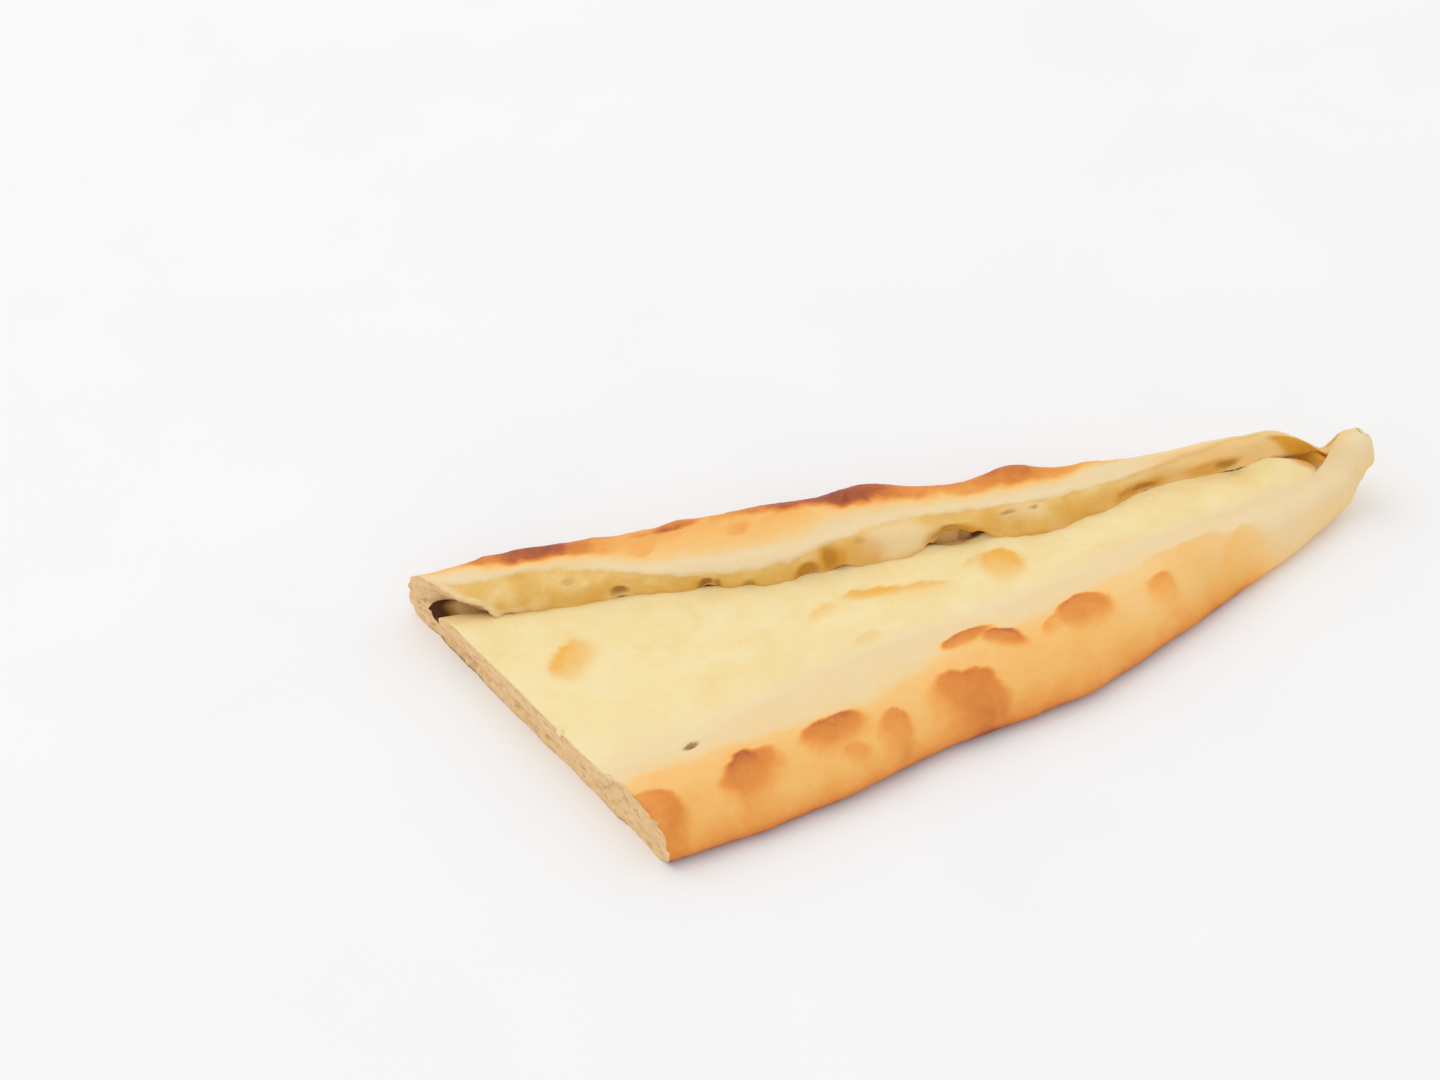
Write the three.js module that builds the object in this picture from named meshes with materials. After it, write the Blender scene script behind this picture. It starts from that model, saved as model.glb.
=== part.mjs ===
// One half of a boat-shaped cream cheese pastry (a pide), cut across its middle and lying flat.
// It is two pieces: a sheet of baked dough, whose long edges are folded inward over the filling
// and pinched together into a raised nib at the tip, and the cheese that fills the trough.
// Units are millimetres. +X runs from the cut to the nib, +Y across to the taller fold, +Z up.
import * as THREE from "three";

// Outer edge of each long side, in pairs of (x, y), from the cut to the end of the nib.
const nearEdge = [
  [13.5, -55.2], [48, -54.5], [84, -48.6], [120, -45.8], [153, -35.9], [181.6, -24.8],
  [200, -17.3], [206, -15.4], [209.3, -14.4], [212, -13.4], [214.5, -12.5],
];
const farEdge = [
  [-14.5, 47.5], [22, 43.5], [60, 37], [98, 29.5], [135, 21], [168, 12.5],
  [190, 6], [199, 2.6], [205.3, -0.2], [209.8, -1.4], [213.5, -2.5],
];

// Measures at the same eleven places, which lie closer together in the nib.
const nearFoldWidth = [25, 29, 30, 29, 25, 16, 10.5, 9.2, 9, 7.5, 6];
const farFoldWidth = [19.5, 22.5, 25, 22, 17, 9, 6.5, 4.6, 4, 3.4, 3];
const nearRimHeight = [13.2, 13.8, 13.4, 13.6, 13, 12.4, 10.8, 9.6, 12.8, 11, 9.2];
const farRimHeight = [16, 16.4, 17.6, 16, 15.4, 15.8, 17.8, 13.5, 4.8, 6.6, 6.8];
const undercutShare = [1, 1, 1, 0.95, 0.85, 0.6, 0.3, 0.1, 0, 0, 0];
const troughShare = [1, 1, 1, 1, 1, 1, 0.75, 0.45, 0.2, 0.1, 0.1];
const undersideLift = [0, 0, 0, 0, 0, 0, 0.8, 2.8, 7, 10, 10.8];
const cheeseThickness = [3.8, 3.8, 3.8, 3.8, 4, 4.8, 4.4, 3.2, 3, 3, 3]; // in the middle of the trough

const doughFloor = 5.3; // top of the bottom sheet, under the cheese
const cheeseShoulder = 1.9; // thickness of the cheese where it goes under a flap
const cheeseGap = 0.5; // clearance between the cheese and the dough
const smallCrease = 0.4; // how far a fold still tucks in where it is pressed down
const creaseDepth = 1; // what is left of the trough between the pinched folds
const cheeseStart = 0.0016; // the cheese begins this share of the way from the cut
const cheeseEnd = 0.69; // and ends here, short of the nib
const cheeseTaper = 0.07; // share of the way over which the cheese narrows to its end
const roundStart = 0.93; // from here to the end the nib rounds off
const stepsPerSpan = 2; // points between two outline points of a section
const doughStations = 60;
const cheeseStations = 36;

// A value that runs smoothly through its measures as t goes from 0 at the cut to 1 at the nib.
function course(measures) {
  const curve = new THREE.SplineCurve(measures.map((m, i) => new THREE.Vector2(i, m)));
  return (t) => curve.getPoint(t).y;
}

function edge(pairs) {
  const curve = new THREE.SplineCurve(pairs.map(([x, y]) => new THREE.Vector2(x, y)));
  return (t) => curve.getPoint(t);
}

const near = edge(nearEdge);
const far = edge(farEdge);
const measure = {
  nearFold: course(nearFoldWidth),
  farFold: course(farFoldWidth),
  nearRim: course(nearRimHeight),
  farRim: course(farRimHeight),
  undercut: course(undercutShare),
  trough: course(troughShare),
  lift: course(undersideLift),
  cheese: course(cheeseThickness),
};

// What a section at t needs: its two ends, its width, the measures there, the height of each
// fold's lip and the floor between them.
function station(t) {
  const from = near(t);
  const to = far(t);
  const s = { from, to, width: from.distanceTo(to) };
  for (const name of Object.keys(measure)) s[name] = measure[name](t);
  s.lift = Math.max(0, s.lift);
  s.trough = Math.min(1, s.trough);
  s.pinched = 1 - s.trough;
  const pastRound = Math.max(0, (t - roundStart) / (1 - roundStart));
  s.roundOff = Math.sqrt(1 - 0.88 * pastRound ** 2);
  s.nearLip = s.nearRim * (0.78 + 0.19 * s.pinched);
  s.farLip = s.farRim * (0.92 + 0.05 * s.pinched);
  const lowLip = Math.min(s.nearLip, s.farLip);
  s.floor = lowLip - Math.max(creaseDepth, s.trough * (lowLip - doughFloor));
  return s;
}

// A smooth line over the top through points (across, up), placed in the upright plane of a
// station. Its two ends are joined by the straight underside.
function ring(place, outline) {
  const curve = new THREE.CatmullRomCurve3(
    outline.map(([across, up]) => new THREE.Vector3(across, up, 0)), false, "centripetal");
  const direction = place.to.clone().sub(place.from).divideScalar(place.width);
  const middle = new THREE.Vector3(place.width / 2, place.nearRim / 2, 0);
  return curve.getPoints((outline.length - 1) * stepsPerSpan).map((p) => {
    p.setY(Math.max(p.y, 0)).sub(middle).multiplyScalar(place.roundOff).add(middle);
    const foot = place.from.clone().addScaledVector(direction, p.x);
    return new THREE.Vector3(foot.x, foot.y, p.y + place.lift);
  });
}

// The dough: up the near fold, over its flap and back under it, along the bottom sheet, then
// the same for the far fold, whose flap drops to the cheese as a steep wall.
function doughOutline(s) {
  const { width: w, nearFold: n, farFold: f, nearRim, farRim, nearLip, farLip, trough, pinched } = s;
  const farStart = w - f;
  const nearHollow = n * 0.42 * s.undercut + smallCrease;
  const farHollow = f * 0.66 * s.undercut + smallCrease;
  const nearDown = (share) => nearLip - share * (nearLip - s.floor);
  const farDown = (share) => farLip - share * (farLip - s.floor);
  return [
    [n * (0.13 + 0.4 * pinched), 0],
    [n * (0.025 + 0.12 * pinched), nearRim * 0.12],
    [0, nearRim * 0.31],
    [n * 0.1, nearRim * 0.66],
    [n * 0.27, nearRim * 0.9],
    [n * 0.5, nearRim],
    [n * 0.78, nearRim * 0.93],
    [n, nearLip],
    [n + 0.8 * trough, nearDown(0.15)],
    [n + 0.1 * trough, nearDown(0.36)],
    [n - nearHollow * 0.35, nearDown(0.42)],
    [n - nearHollow * 0.8, nearDown(0.48)],
    [n - nearHollow, nearDown(0.7)],
    [n - nearHollow * 0.8, nearDown(0.92)],
    [n - nearHollow * 0.1, nearDown(1)],
    [(n + farStart) / 2, s.floor - 0.1],
    [farStart + farHollow * 0.1, farDown(1)],
    [farStart + farHollow * 0.8, farDown(0.91)],
    [farStart + farHollow, farDown(0.66)],
    [farStart + farHollow * 0.75, farDown(0.28)],
    [farStart + farHollow * 0.25 + 0.4 * trough, farDown(0.4)],
    [farStart + 0.7 * trough, farDown(0.56)],
    [farStart - 0.5 * trough, farDown(0.53)],
    [farStart - 0.3 * trough, farDown(0.27)],
    [farStart + f * 0.05, farDown(0.04)],
    [farStart + f * 0.18, farLip + farRim * 0.03],
    [farStart + f * 0.45, farRim],
    [farStart + f * 0.72, farRim * 0.96],
    [farStart + f * 0.92, farRim * 0.72],
    [w, farRim * 0.38],
    [w - f * (0.03 + 0.12 * pinched), farRim * 0.12],
    [w - f * (0.16 + 0.4 * pinched), 0],
  ];
}

// The cheese: it lies on the bottom sheet, runs a little way under both flaps, thins as the
// trough gets shallower and narrows towards its end by the share left.
function cheeseOutline(s, left) {
  const { width: w, nearFold: n, farFold: f } = s;
  const low = s.floor + cheeseGap;
  const shoulder = cheeseShoulder * Math.min(1, (s.nearLip - s.floor) / 5);
  const middle = (n + w - f) / 2;
  const half = (w - f - n) / 2;
  const tuck = Math.min(1, s.undercut * n / 20);
  const nearEnd = -half - n * 0.22 * s.undercut * tuck;
  const farEnd = half + f * 0.3 * s.undercut * tuck;
  const top = shoulder + (s.cheese - shoulder) * Math.min(1, half / 8);
  const nearBrink = 0.4 - half;
  const farBrink = half - 1;
  const outline = [
    [nearEnd + 2 * tuck, 0],
    [nearEnd + 0.4 * tuck, shoulder * 0.15],
    [nearEnd, shoulder * 0.6],
    [nearEnd + 0.8 * tuck, shoulder * 0.95],
    [nearBrink, shoulder],
    [nearBrink * 0.75, top - 0.4 * tuck],
    [0, top],
    [farBrink * 0.75, top],
    [farBrink, top - 0.6],
    [farBrink + 0.2, shoulder],
    [farEnd - 0.8 * tuck, shoulder * 0.95],
    [farEnd, shoulder * 0.6],
    [farEnd - 0.4 * tuck, shoulder * 0.15],
    [farEnd - 2 * tuck, 0],
  ];
  const heightLeft = 0.4 + 0.6 * left;
  return outline.map(([across, up]) => [middle + across * left, low + up * heightLeft]);
}

// Triangles that fill the flat face inside a ring, as places in the ring.
function capTriangles(points) {
  const across = points[points.length - 1].clone().sub(points[0]).setZ(0).normalize();
  const flat = points.map((p) => new THREE.Vector2(p.dot(across), p.z));
  return THREE.ShapeUtils.triangulateShape(flat, []);
}

// Skins a row of rings and closes both ends.
function loft(rings) {
  const size = rings[0].length;
  const index = [];
  for (let r = 0; r + 1 < rings.length; r += 1) {
    for (let i = 0; i < size; i += 1) {
      const next = (i + 1) % size;
      const [a, b] = [r * size + i, r * size + next];
      index.push(a, b + size, b, a, a + size, b + size);
    }
  }
  const last = rings.length - 1;
  for (const [a, b, c] of capTriangles(rings[0])) index.push(a, c, b);
  for (const corners of capTriangles(rings[last])) index.push(...corners.map((i) => last * size + i));
  const geometry = new THREE.BufferGeometry().setFromPoints(rings.flat());
  geometry.setIndex(index);
  geometry.computeVertexNormals();
  return geometry;
}

function dough() {
  const rings = [];
  for (let i = 0; i <= doughStations; i += 1) {
    const s = station(i / doughStations);
    rings.push(ring(s, doughOutline(s)));
  }
  return loft(rings);
}

function cheese() {
  const rings = [];
  for (let i = 0; i <= cheeseStations; i += 1) {
    const t = cheeseStart + (cheeseEnd - cheeseStart) * (i / cheeseStations);
    const s = station(t);
    const left = Math.sqrt(Math.min(1, Math.max(0.02, (cheeseEnd - t) / cheeseTaper)));
    rings.push(ring(s, cheeseOutline(s, left)));
  }
  return loft(rings);
}

function piece(name, geometry, color, roughness) {
  const material = new THREE.MeshStandardMaterial({ color, roughness, metalness: 0 });
  const mesh = new THREE.Mesh(geometry, material);
  mesh.name = name;
  return mesh;
}

const pastry = new THREE.Group();
pastry.add(piece("dough_boat", dough(), 0xe8b26a, 0.7));
pastry.add(piece("cheese_filling", cheese(), 0xf2dfa4, 0.45));

// The origin is under the middle of the whole outline, on the surface that the pastry lies on.
const box = new THREE.Box3().setFromObject(pastry);
const centre = box.getCenter(new THREE.Vector3());
pastry.position.set(-centre.x, -centre.y, -box.min.z);

const group = new THREE.Group();
group.add(pastry);

export default group;
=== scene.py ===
import math
from itertools import product

import bpy
import numpy as np
from mathutils import Matrix, Vector
from mathutils.geometry import delaunay_2d_cdt


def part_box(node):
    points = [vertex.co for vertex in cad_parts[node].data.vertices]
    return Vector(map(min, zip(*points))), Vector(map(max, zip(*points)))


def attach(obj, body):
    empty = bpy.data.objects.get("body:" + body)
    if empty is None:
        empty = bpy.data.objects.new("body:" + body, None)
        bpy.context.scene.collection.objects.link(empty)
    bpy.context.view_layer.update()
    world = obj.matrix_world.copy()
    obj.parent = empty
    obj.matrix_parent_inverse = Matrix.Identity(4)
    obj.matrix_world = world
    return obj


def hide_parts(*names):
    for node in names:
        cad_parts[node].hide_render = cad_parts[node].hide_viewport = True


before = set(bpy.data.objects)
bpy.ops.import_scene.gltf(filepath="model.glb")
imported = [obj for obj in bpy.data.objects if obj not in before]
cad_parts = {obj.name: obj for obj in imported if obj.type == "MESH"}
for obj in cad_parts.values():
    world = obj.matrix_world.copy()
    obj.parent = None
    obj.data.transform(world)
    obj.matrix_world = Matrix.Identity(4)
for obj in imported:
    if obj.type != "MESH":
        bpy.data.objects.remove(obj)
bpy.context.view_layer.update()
mm = 0.001


# Half of a boat-shaped cream cheese pastry, cut across its middle and lying flat.
# Small tools for shapes come first. Lengths are in millimetres until a mesh is made.

def smooth(start, end, value):
    share = np.clip((value - start) / (end - start), 0, 1)
    return share * share * (3 - 2 * share)


def noiseField(points, size, seed, octaves=1):
    rng = np.random.default_rng(seed)
    order = np.tile(rng.permutation(256), 2)
    slopes = rng.normal(size=(256, 3))
    slopes /= np.linalg.norm(slopes, axis=1)[:, None]
    total = np.zeros(points.shape[:-1])
    for octave in range(octaves):
        place = points / size * 2**octave + 100.5 + 17.3 * octave
        cell = np.floor(place).astype(int)
        inside = place - cell
        ease = inside**3 * (inside * (6 * inside - 15) + 10)
        for corner in product((0, 1), repeat=3):
            c = (cell + corner) & 255
            pick = order[order[order[c[..., 0]] + c[..., 1]] + c[..., 2]]
            weight = np.where(corner, ease, 1 - ease).prod(-1)
            total += weight * ((inside - corner) * slopes[pick]).sum(-1) * 1.6 / 2**octave
    return total


def course(measures, t):
    m = np.array(measures, float)
    last = len(m) - 1
    i = np.minimum((t * last).astype(int), last - 1)
    w = t * last - i
    before, here, after, beyond = m[np.maximum(i - 1, 0)], m[i], m[i
                                                                   + 1], m[np.minimum(i + 2, last)]
    if m.ndim == 2:
        w = w[:, None]
    a, b = (after - before) / 2, (beyond - here) / 2
    return ((2 * here - 2 * after + a + b) * w**3 + (3 * after - 3 * here - 2 * a - b) * w**2 + a
            * w + here)


def throughPoints(points, steps):
    ends = [2 * points[:, :1] - points[:, 1:2], points, 2 * points[:, -1:] - points[:, -2:-1]]
    p = np.concatenate(ends, axis=1)
    made = []
    for k, count in enumerate(steps):
        a, b, c, d = (p[:, k + j] for j in range(4))
        gaps = [np.maximum(np.linalg.norm(v, axis=1), 1e-3)[:, None] ** 0.5
                for v in (b - a, c - b, d - c)]
        leave = ((b - a) / gaps[0] - (c - a) / (gaps[0] + gaps[1]) + (c - b) / gaps[1]) * gaps[1]
        arrive = ((c - b) / gaps[1] - (d - b) / (gaps[1] + gaps[2]) + (d - c) / gaps[2]) * gaps[1]
        for j in range(count):
            u = j / count
            made.append((2 * b - 2 * c + leave + arrive) * u**3
                        + (3 * c - 3 * b - 2 * leave - arrive) * u**2 + leave * u + b)
    return np.stack(made + [p[:, -2]], axis=1)


def gridNormals(grid):
    around = np.roll(grid, -1, axis=1) - np.roll(grid, 1, axis=1)
    n = np.cross(np.gradient(grid, axis=0), around)
    return n / np.maximum(np.linalg.norm(n, axis=2), 1e-9)[:, :, None]


def spotField(points, spots, seed, crispSide=1):
    colour, height = np.zeros(points.shape[:-1]), np.zeros(points.shape[:-1])
    wobble = 0.2 * noiseField(points, 6, seed, 3)
    for x, y, along, across, turn, bake, rise in spots:
        c, s = math.cos(math.radians(turn)), math.sin(math.radians(turn))
        dx, dy = points[..., 0] - x, points[..., 1] - y
        u, v = (c * dx + s * dy) / along, (c * dy - s * dx) / across
        away = np.sqrt(u * u + v * v)
        side = np.clip(crispSide * v / np.maximum(away, 0.2), -1, 1)
        soft = 0.34 - 0.24 * side
        shade = 0.8 + 0.34 * np.clip(crispSide * v + 0.6 * wobble, -1, 1)
        colour = np.maximum(colour, bake * shade * smooth(1 + soft, 1 - soft, away + wobble))
        height += rise * smooth(1.4, 0.1, away + 0.5 * wobble)
    return colour, height


def alongLine(x, pairs):
    return np.interp(x, [pair[0] for pair in pairs], [pair[1] for pair in pairs])


# The dough, from the cut to the end of the nib.

doughShape = {
    "nearEdge": [(13.5, -55.2), (48, -54.5), (84, -48.6), (120, -45.8), (153, -35.9),
                 (181.6, -24.8), (200, -17.3), (206, -15.4), (209.3, -14.4), (212, -13.4),
                 (214.5, -12.5)],
    "farEdge": [(-14.5, 47.5), (22, 43.5), (60, 37), (98, 29.5), (135, 21), (168, 12.5), (190, 6),
                (199, 2.6), (205.3, -0.2), (209.8, -1.4), (213.5, -2.5)],
    "nearFold": [25, 29, 30, 29, 25, 16, 10.5, 9.2, 9, 7.5, 6],
    "farFold": [19.5, 22.5, 25, 22, 17, 9, 6.5, 4.6, 4, 3.4, 3],
    "nearRim": [13.2, 13.8, 13.4, 13.6, 13, 12.4, 10.8, 9.6, 12.8, 11, 9.2],
    "farRim": [16, 16.4, 17.6, 16, 15.4, 15.8, 17.8, 13.5, 4.8, 6.6, 6.8],
    "undercut": [1, 1, 1, 0.95, 0.85, 0.6, 0.3, 0.1, 0, 0, 0],
    "trough": [1, 1, 1, 1, 1, 1, 0.75, 0.45, 0.2, 0.1, 0.1],
    "lift": [0, 0, 0, 0, 0, 0, 0.8, 2.8, 7, 10, 10.8],
    "floor": 5.3,  # top of the bottom sheet
    "smallCrease": 0.4,
    "creaseDepth": 1,
    "roundStart": 0.93,
    "ringGap": 0.8,  # between two rings along the length
    "bottomSteps": 24,
}
# Steps between one point of the outline and the next. A place round it is a number from 0 to 32.
spanSteps = [6, 6, 13, 13, 15, 18, 15, 6, 5, 4, 4, 3, 3, 4, 6, 6, 5, 4, 4, 6, 7, 6, 10, 9, 10, 15,
             13, 13, 13, 7, 6]

wallShape = {  # pairs of how far along and, for lines, the place round the outline
    # Far fold, top of its inner wall.
    "wallTop": [(-115, 25.8), (-80, 25.6), (-70, 24.9), (-60, 23.8), (-50, 23.3), (-38, 23.3),
                (-27, 23.6), (-17, 24.4), (-8, 25.0), (5, 25.2), (20, 24.9), (35, 24.6),
                (50, 24.7), (62, 24.9), (74, 25.4), (90, 26.2), (102, 27)],
    # Near fold, where gold gives way to the pale flap: nearly level, with one dip.
    "goldEnd": [(-84, 5.8), (-60, 5.5), (-30, 4.8), (-5, 5.5), (66, 5.5), (82, 3.4)],
    # Far fold, where gold starts above the pale band.
    "goldStart": [(-115, 26.8), (-104, 26.5), (-97, 25.95), (-85, 25.75), (-72, 25.6), (-60, 25.1),
                  (-50, 24.9), (-38, 24.8), (-25, 25.1), (-15, 25.7), (0, 25.8), (20, 25.5),
                  (40, 25.6), (55, 26.5), (70, 27.6), (90, 29)],
    # Far fold, millimetres that its wall stands into the trough.
    "standsOut": [(-115, 0), (-72, 0), (-50, 0.6), (-36, 2.2), (-28, 1.4), (-14, 1.6), (-3, 1.9),
                  (5, 0.2), (14, 0.3), (20, 1.8), (30, 4.2), (35, 4.4), (42, 2.2), (52, 0.6),
                  (60, 0)],
    "openings": [  # along, half length, how open the foot is there
        (-110, 7, 0.4), (-68, 1.8, 0.35), (-49, 1.8, 0.4), (-26, 2.6, 0.25), (-18.5, 2.2, 0.4),
        (3.5, 2, 0.6), (10, 5.2, 1.35), (16, 2.4, 0.9), (60, 3, 0.4), (81, 2.2, 0.1),
    ],
    "holes": [  # along, place round, half length, half place, depth, how dark the painted shade in the hole is
        (-69.5, 22.8, 2.0, 0.5, 1.0, 0.8), (-49.8, 22.2, 1.9, 0.6, 1.1, 0.8),
        (-47.2, 22.2, 0.8, 0.6, 0.6, 0.8), (-40, 22.1, 1.7, 0.5, 0.8, 0.6),
        (-26, 22.3, 3.2, 0.62, 0.9, 0.55), (-20, 23.1, 1.7, 0.9, 0.8, 0.4),
        (-19, 21.9, 1.8, 0.3, 0.4, 0.9), (-80.6, 24.6, 1.5, 0.4, 0.4, 0.3),
        (24.5, 24.0, 2.0, 0.16, 0.3, 0.6), (31, 24.1, 1.1, 0.14, 0.3, 0.6),
        (-12, 24.1, 1.4, 0.3, 0.3, 0.3), (60, 22.8, 3.6, 0.36, 0.2, 0.8),
        (55, 23.0, 2.4, 0.3, 0.1, 0.4), (81.5, 22.8, 2.8, 0.34, 0.1, 0.7),
        (9, 22.8, 5.5, 0.9, 1.0, 0.35),
    ],
    # Ochre spots: partly the cheese-soaked dough's own colour, partly painted shade on the wall's
    # foot, in its holes and under the flap.
    "ochreAndShade": [
        (-19.5, 23, 4, 1.3, 0, 0.9), (-13, 23.2, 6, 1.2, 0, 0.4), (12, 22.3, 6.5, 1.4, 0, 1),
        (22, 23.6, 9, 1.2, 0, 0.3), (42, 23, 10, 1, 0, 0.35), (-26, 22.3, 3.6, 0.8, 0, 0.9),
        (59, 22.9, 8, 0.8, 0, 0.8), (78, 22.9, 7, 0.7, 0, 0.7), (-50, 22.4, 4, 0.7, 0, 0.4),
        (-78, 23, 6, 0.8, 0, 0.3),
    ],
    "tan": [(-3, 23.6, 9, 1.5, 0, 0.75), (28, 24.1, 6, 0.5, 0, 0.5)],
    "pillows": [  # along, place round, half length, half place, height
        (-6, 23.3, 11, 1.7, 1.0), (26, 23.1, 12, 1.7, 1.3), (-90, 24, 12, 1.6, 0.6),
        (48, 23.2, 8, 1.5, 0.5),
    ],
    "flapBack": 9.5,  # how far the far flap draws back from the cut at its foot
    "flapFade": 30,
}

scorches = {  # along, across, half length, half width, turn, how brown, how raised
    "near": [
        (-86, -44.5, 6.4, 6, -25, 0.34, 0.5), (-62.5, -42.3, 7.6, 5.4, 16, 0.42, 0.9),
        (-41, -38.4, 8.6, 4, 8, 0.42, 0.9), (-38, -44, 3.6, 1.8, 0, 0.16, 0.2),
        (-27, -41.8, 4, 4.4, -20, 0.26, 0.4), (-1.5, -23.6, 7, 2.5, 12, 0.44, 0.6),
        (6, -27, 5.2, 3, -38, 0.48, 0.5), (-7, -38.6, 8.2, 6.2, -22, 0.37, 1.0),
        (27, -26.6, 7, 5, 5, 0.4, 0.9), (19, -28, 4, 2.4, 30, 0.22, 0.3),
        (48, -26.5, 4, 4.4, 0, 0.2, 0.4), (73, -21, 8, 5, 25, 0.1, 0.2),
        (106.5, -1.5, 4.2, 2.4, -20, 0.1, 0),
    ],
    "far": [
        (-51, 36.6, 5.4, 2.6, -10, 0.34, 0.5), (-61, 32, 3.4, 2.4, 0, 0.14, 0.2),
        (-38, 28, 3, 2.2, 0, 0.12, 0.2), (-60, 37.5, 3, 1.4, 0, 0.12, 0.1),
        (107.5, 1.5, 4.4, 3.4, -35, 0.1, 0),
    ],
    "ridge": [(-115, 0.05), (-103, 0.1), (-99, 0.45), (-90, 0.52), (-78, 0.5), (-71, 0.26),
              (-65, 0.06), (-44, 0.02), (-36, 0.24), (-28, 0.4), (-20, 0.48), (-12, 0.6),
              (-3, 0.48), (4, 0.34), (10, 0.22), (18, 0.24), (25, 0.36), (33, 0.4), (38, 0.22),
              (47, 0.16), (60, 0.08), (72, 0)],
    "ridgeStart": [(-115, 0.1), (-70, 0.1), (-50, 1.2), (-36, 1.5), (-24, 1.2), (-12, 0.2),
                   (60, 0.1)],
    "humps": [(-3.5, 12, 3.2), (31, 7.5, 2.3), (-30, 9, 0.5), (-88, 12, 0.6)],
    # Pinholes: sunk dents whose dark colour is painted shade.
    "pinholes": [(-71.8, -29, 1.9, 1.1, 12, 1, -0.9), (-44, -52.5, 1.2, 0.7, 0, 0.6, -0.4)],
}
bakeAndEdgeShade = {  # how brown the dough is at each place round its outline, near side and far side; the darkest values, along the near bottom edge, are the baked bottom darkened further as painted contact shadow
    "place": [0, 1, 1.7, 2.3, 3, 4, 4.7, 5.08, 5.2, 5.32, 5.8, 7, 8, 14, 30, 31, 32],
    "bake": [1.0, 0.9, 0.7, 0.54, 0.42, 0.37, 0.34, 0.3, 0.2, 0.1, 0.06, 0.03, 0.03, 0.1, 0.62,
             0.84, 0.84],
}
farBake = {"past": [-0.3, 0, 0.25, 0.6, 1.3, 3, 4.2, 5.5],
           "bake": [0.03, 0.1, 0.22, 0.32, 0.40, 0.5, 0.62, 0.84]}
doughRelief = {"lumps": 0.7, "dimples": 0.3, "skin": 0.08, "edgeTear": 0.8}
doughSeeds = {
    "gap": 5, "standsOut": 6, "ragged": 8, "near": 11, "far": 12, "pins": 13, "lumps": 21,
    "dimples": 22, "skin": 23, "crinkle": 25, "torn": 26, "lifted": 27, "wobble": 31,
    "fineWobble": 34,
}
outlinePlace = {  # where one stretch of the outline ends and the next starts
    "nearEnd": 8.5, "farHollowEnd": 19.3, "farStart": 20.5, "farLip": 24.4, "farEnd": 31.2,
}
flapEdge = {  # the far flap and the slot under it at the cut, as lengths from the cut; the slot's near-black colour is painted shade
    "hem": (14, 5), "rim": (3.4, 1.8), "slot": (8, 3), "ragged": (26, 10), "tearFade": 1.6,
    "liftAt": 1.2, "liftHalf": 1.3, "lift": 0.7, "liftWander": 0.9,
}
# Where the nib's folds part; the ochre painted in this pocket is painted shade.
pocketShape = {"at": (102, 1.2), "half": (6.5, 4.2), "slant": 0.5, "fade": (1.3, 0.85)}


# How far along each ring lies, as a share of the way from the cut, closer where the nib rounds off.
def stations():
    t = np.linspace(0, 1, 6000)
    middle = (course(doughShape["nearEdge"], t) + course(doughShape["farEdge"], t)) / 2
    length = np.concatenate([[0], np.cumsum(np.linalg.norm(np.diff(middle, axis=0), axis=1))])
    end = np.interp(doughShape["roundStart"], t, length)
    body = np.linspace(0, end, int(end / doughShape["ringGap"]))
    rounded = 1 - (1 - doughShape["roundStart"]) * np.cos(np.linspace(0, math.pi / 2, 14)[1:])
    return np.concatenate([np.interp(body, length, t), rounded])


# The measures of the dough at each ring.
def measuresAt(t):
    m = {name: course(doughShape[name], t) for name in
         ("nearEdge", "farEdge", "nearFold", "farFold", "nearRim", "farRim", "undercut", "trough",
          "lift")}
    m["lift"] = np.maximum(m["lift"], 0)
    past = np.maximum(0, (t - doughShape["roundStart"]) / (1 - doughShape["roundStart"]))
    m["crease"] = 1 - 0.95 * past**4
    m["trough"] = np.minimum(m["trough"], 1) * m["crease"]
    m["width"] = np.linalg.norm(m["farEdge"] - m["nearEdge"], axis=1)
    m["direction"] = (m["farEdge"] - m["nearEdge"]) / m["width"][:, None]
    m["roundOff"] = np.sqrt(1 - 0.985 * past**2)
    m["nearLip"] = m["nearRim"] * (0.97 - 0.19 * m["trough"])
    m["farLip"] = m["farRim"] * (0.97 - 0.05 * m["trough"])
    m["atCut"] = smooth(0.08, 0.01, t)
    lowLip = np.minimum(m["nearLip"], m["farLip"])
    m["floor"] = (lowLip - np.maximum(doughShape["creaseDepth"] * m["crease"],
                                      m["trough"] * (lowLip - doughShape["floor"])))
    return m


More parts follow.
